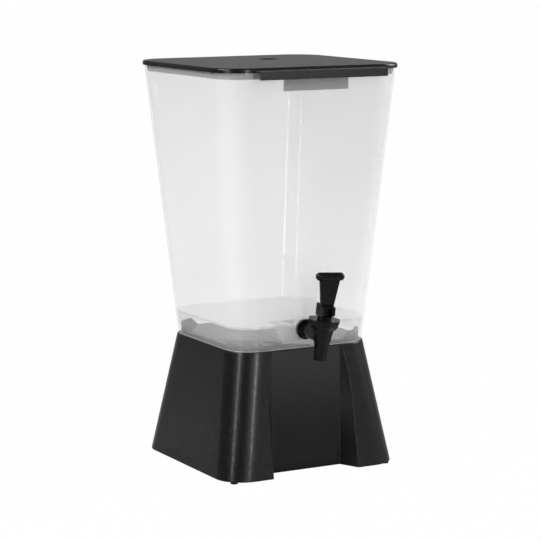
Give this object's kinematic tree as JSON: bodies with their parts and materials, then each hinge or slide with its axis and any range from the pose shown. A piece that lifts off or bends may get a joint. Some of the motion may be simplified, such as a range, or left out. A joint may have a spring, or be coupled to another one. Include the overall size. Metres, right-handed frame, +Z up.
{
  "type": "juice dispenser",
  "caption": "Square tapered translucent drink tank on a flared black stand, with a lift-off lid with a pull lip and a spring-closed lever tap over a cup recess.",
  "frame": {"origin": "on the surface it stands on, under the middle of the whole object's box", "axes": "+Z up; the tap and the lid's pull lip face -Y; +X is to the right of someone who faces the tap"},
  "size_m": [0.2828, 0.3206, 0.5633],
  "materials": {
    "stand_plastic": "fine grain, satin",
    "foot_rubber": "matte",
    "tank_plastic": "milky translucent, smooth",
    "lid_plastic": "fine grain, satin",
    "tap_plastic": "semi-gloss",
    "seal_rubber": "matte",
    "cup_silicone": "translucent matte",
    "washer_plastic": "smooth",
    "spring_steel": "drawn wire"
  },
  "bodies": {
    "stand": {"base_shell": "stand_plastic", "foot_front_left": "foot_rubber", "foot_front_right": "foot_rubber", "foot_back_left": "foot_rubber", "foot_back_right": "foot_rubber"},
    "tank": {"reservoir": "tank_plastic", "tap_body": "tap_plastic", "outer_gasket": "seal_rubber", "inner_gasket": "seal_rubber", "slip_washer": "washer_plastic", "wing_nut": "washer_plastic", "bonnet": "tap_plastic", "bonnet_seal": "seal_rubber", "stem_seal": "seal_rubber", "stem_spring": "spring_steel"},
    "lid": {"lid": "lid_plastic"},
    "valve": {"valve_stem": "tap_plastic", "seat_cup": "cup_silicone", "lever_pin": "spring_steel"},
    "lever": {"lever": "tap_plastic"}
  },
  "joints": [
    {"name": "tank_lift", "type": "slide", "parent": "stand", "child": "tank", "axis": [0, 0, 1], "range_m": [0, 0.05]},
    {"name": "lid_lift", "type": "slide", "parent": "tank", "child": "lid", "axis": [0, 0, 1], "range_m": [0, 0.06]},
    {"name": "stem_slide", "type": "slide", "parent": "tank", "child": "valve", "axis": [0.0732, -0.0873, 0.9935], "range_m": [0, 0.0032], "deforming": ["stem_spring"]},
    {"name": "lever_tilt", "type": "hinge", "parent": "valve", "child": "lever", "pos_m": [0.00039, -0.13893, 0.23424], "axis": [0.9973, 0.0064, -0.073], "range_deg": [0, 45], "stiffness_Nm_per_rad": 0.024, "springref_deg": -57.3}
  ],
  "couplings": [
    {"joint": "stem_slide", "follows": "lever_tilt", "m_per_rad": 0.004}
  ]
}
